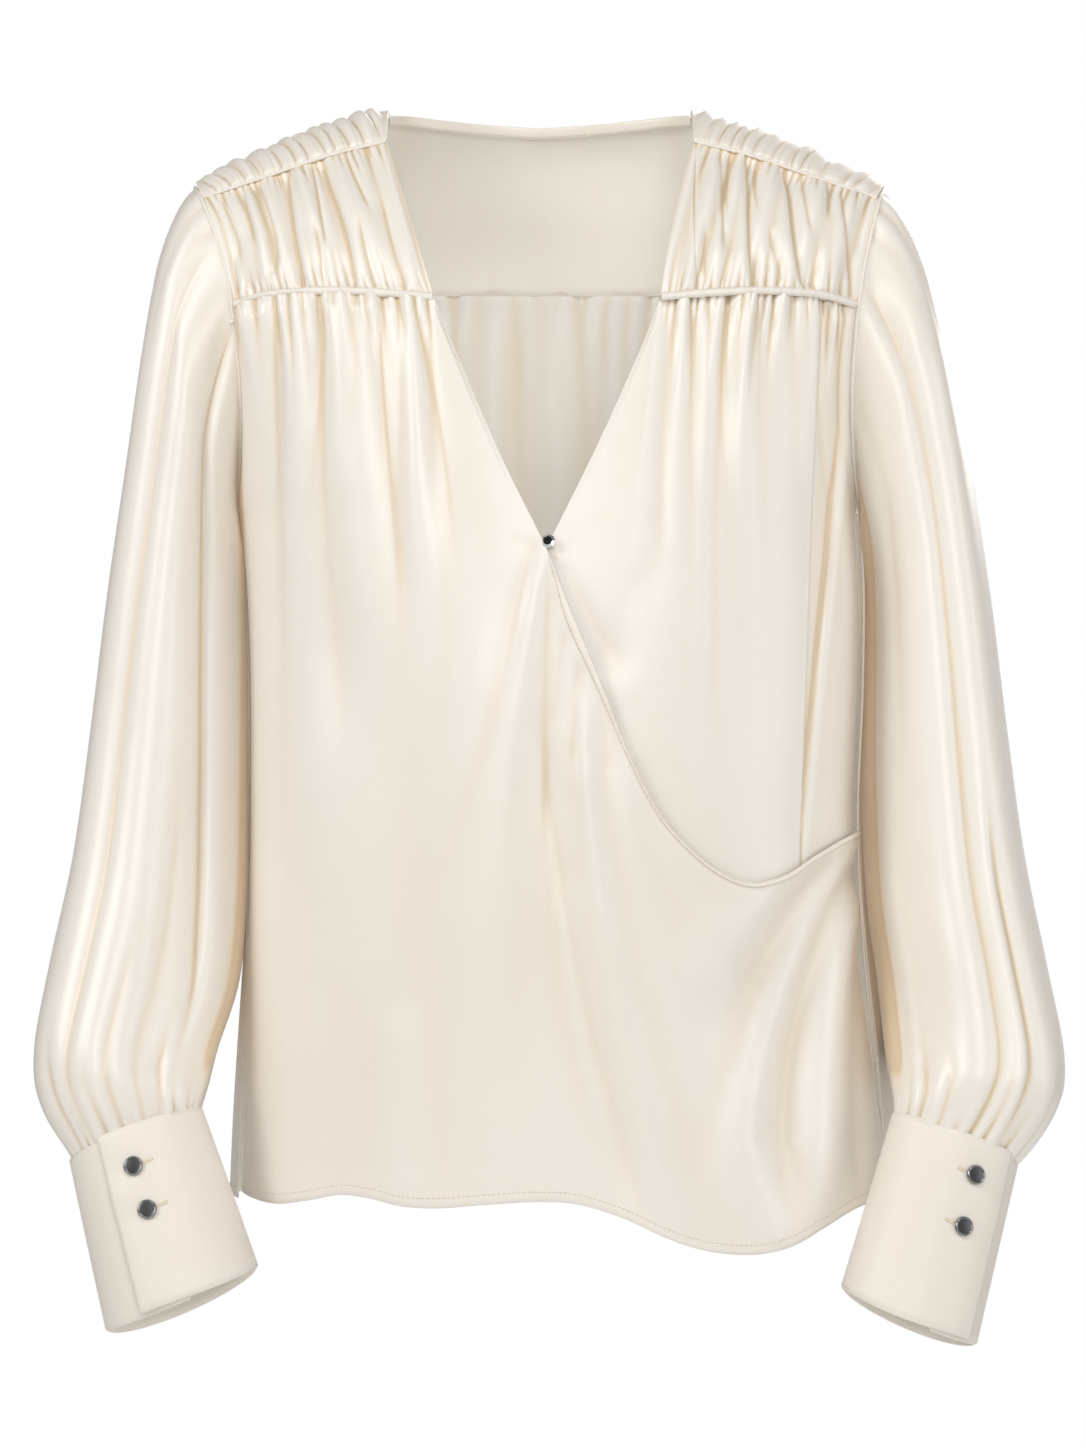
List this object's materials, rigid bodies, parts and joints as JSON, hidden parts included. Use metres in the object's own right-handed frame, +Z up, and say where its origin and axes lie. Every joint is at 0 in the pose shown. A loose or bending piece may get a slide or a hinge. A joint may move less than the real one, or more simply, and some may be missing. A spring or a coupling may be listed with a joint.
{
  "type": "wrap top",
  "caption": "Long-sleeved wrap blouse in satin with a V neck, corded yokes, ruched shoulders and deep buttoned cuffs, in its worn form.",
  "frame": {"origin": "middle of the line across both shoulders, where the wearer holds the garment up", "axes": "+Z up, the front faces -Y, +X towards the wearer's left"},
  "size_m": [0.5759, 0.2329, 0.7003],
  "materials": {
    "satin": "soft satin sheen",
    "satin_inside": "duller inside of the satin",
    "button_metal": "polished rim with a dark mirror face"
  },
  "bodies": {
    "root": {"front_right": "satin", "front_left": "satin", "back_lower": "satin_inside", "back_yoke": "satin_inside", "neck_binding": "satin", "edge_band": "satin", "front_button": "button_metal", "front_yoke_right": "satin", "shoulder_band_right": "satin", "yoke_piping_right": "satin", "sleeve_right": "satin", "cuff_right": "satin", "cuff_button_right_1": "button_metal", "cuff_button_right_2": "button_metal", "front_yoke_left": "satin", "shoulder_band_left": "satin", "yoke_piping_left": "satin", "sleeve_left": "satin", "cuff_left": "satin", "cuff_button_left_1": "button_metal", "cuff_button_left_2": "button_metal"}
  },
  "joints": []
}
